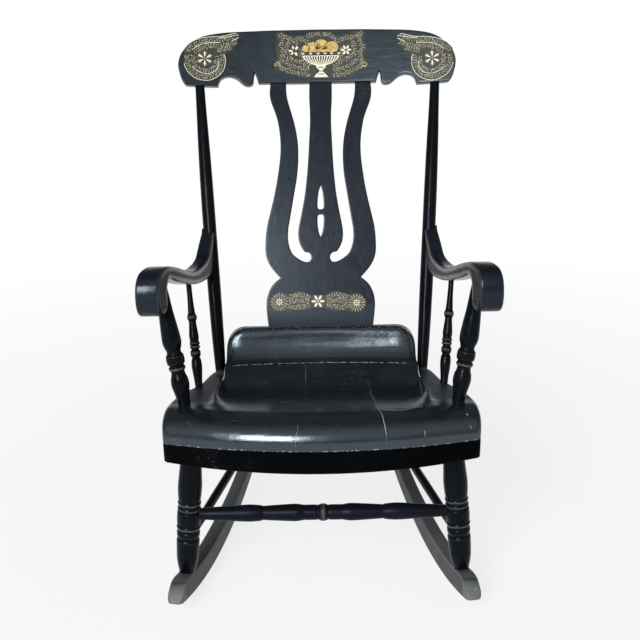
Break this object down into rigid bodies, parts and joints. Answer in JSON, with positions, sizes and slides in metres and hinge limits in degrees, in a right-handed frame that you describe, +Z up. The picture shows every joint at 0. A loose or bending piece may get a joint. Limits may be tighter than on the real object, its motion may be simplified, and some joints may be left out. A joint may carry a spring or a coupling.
{
  "type": "rocking chair",
  "caption": "Black painted boston rocking chair: rolled plank seat, scrolled arms, pierced splat, shaped crest rail with stencilled fruit bowl, turned legs and stretchers, bowed rockers.",
  "frame": {"origin": "centre of the bounding box in plan, on the floor under the lowest flat of the rockers", "axes": "+Z up, -Y towards the front of the seat, +X to the right of someone who looks at the front; pieces named left lie at -X"},
  "size_m": [0.633, 0.7648, 1.0294],
  "materials": {
    "black_paint": "worn satin to gloss black paint on wood, with stencilled ornament in gold and cream",
    "bare_wood": "bare hardwood, hidden",
    "steel": "plain steel, hidden"
  },
  "bodies": {
    "root": {"arm_left": "black_paint", "arm_post_left": "black_paint", "arm_post_right": "black_paint", "arm_right": "black_paint", "arm_screw_left": "steel", "arm_screw_plug_left": "black_paint", "arm_screw_plug_right": "black_paint", "arm_screw_right": "steel", "arm_spindle_left": "black_paint", "arm_spindle_right": "black_paint", "back_post_left": "black_paint", "back_post_right": "black_paint", "back_splat": "black_paint", "crest_pin_left": "black_paint", "crest_pin_right": "black_paint", "crest_rail": "black_paint", "front_leg_left": "black_paint", "front_leg_right": "black_paint", "front_roll_dowel_left": "bare_wood", "front_roll_dowel_middle": "bare_wood", "front_roll_dowel_right": "bare_wood", "front_stretcher": "black_paint", "rear_leg_left": "black_paint", "rear_leg_right": "black_paint", "rear_roll_dowel_left": "bare_wood", "rear_roll_dowel_middle": "bare_wood", "rear_roll_dowel_right": "bare_wood", "rear_stretcher": "black_paint", "rocker_left": "black_paint", "rocker_pin_front_left": "black_paint", "rocker_pin_front_right": "black_paint", "rocker_pin_rear_left": "black_paint", "rocker_pin_rear_right": "black_paint", "rocker_right": "black_paint", "seat_front_roll": "black_paint", "seat_plank": "black_paint", "seat_rear_roll": "black_paint", "side_stretcher_left": "black_paint", "side_stretcher_right": "black_paint"}
  },
  "joints": []
}
